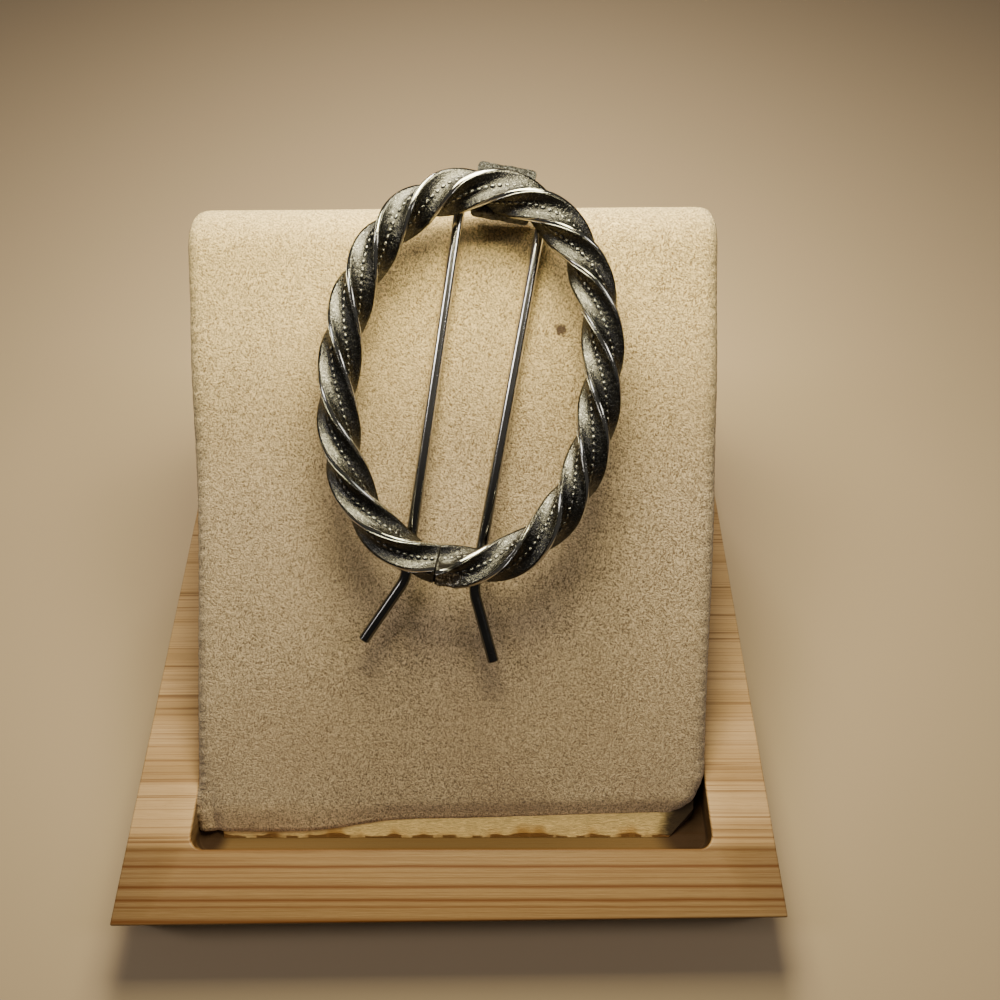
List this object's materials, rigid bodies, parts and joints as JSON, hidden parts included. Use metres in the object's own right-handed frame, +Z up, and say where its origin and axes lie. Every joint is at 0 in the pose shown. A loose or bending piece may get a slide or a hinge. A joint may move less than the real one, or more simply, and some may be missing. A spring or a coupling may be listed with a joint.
{
  "type": "scarf clip on a display stand",
  "caption": "Oval twisted-rope scarf clip whose ring hinges on a bent wire fork, lying on the suede ramp of a small bamboo display stand.",
  "frame": {"origin": "middle of the board's underside", "axes": "+X to the right as seen from the low end of the ramp, +Y towards the ramp's high end, +Z up"},
  "size_m": [0.08, 0.088, 0.0562],
  "materials": {
    "bamboo": "satin, grain along X",
    "fibreboard": "raw, fibrous",
    "suede": "short brushed nap",
    "fork_wire": "polished silver tone",
    "ring_metal": "polished rails, darkened recesses"
  },
  "bodies": {
    "stand": {"bamboo_base": "bamboo", "ramp_core": "fibreboard", "suede_cover": "suede", "wire_fork": "fork_wire"},
    "ring": {"twisted_ring": "ring_metal"}
  },
  "joints": [
    {"name": "ring_hinge", "type": "hinge", "parent": "stand", "child": "ring", "pos_m": [0.0071, 0.03083, 0.05076], "axis": [-0.9848, 0.1485, 0.09], "range_deg": [0, 94]}
  ]
}
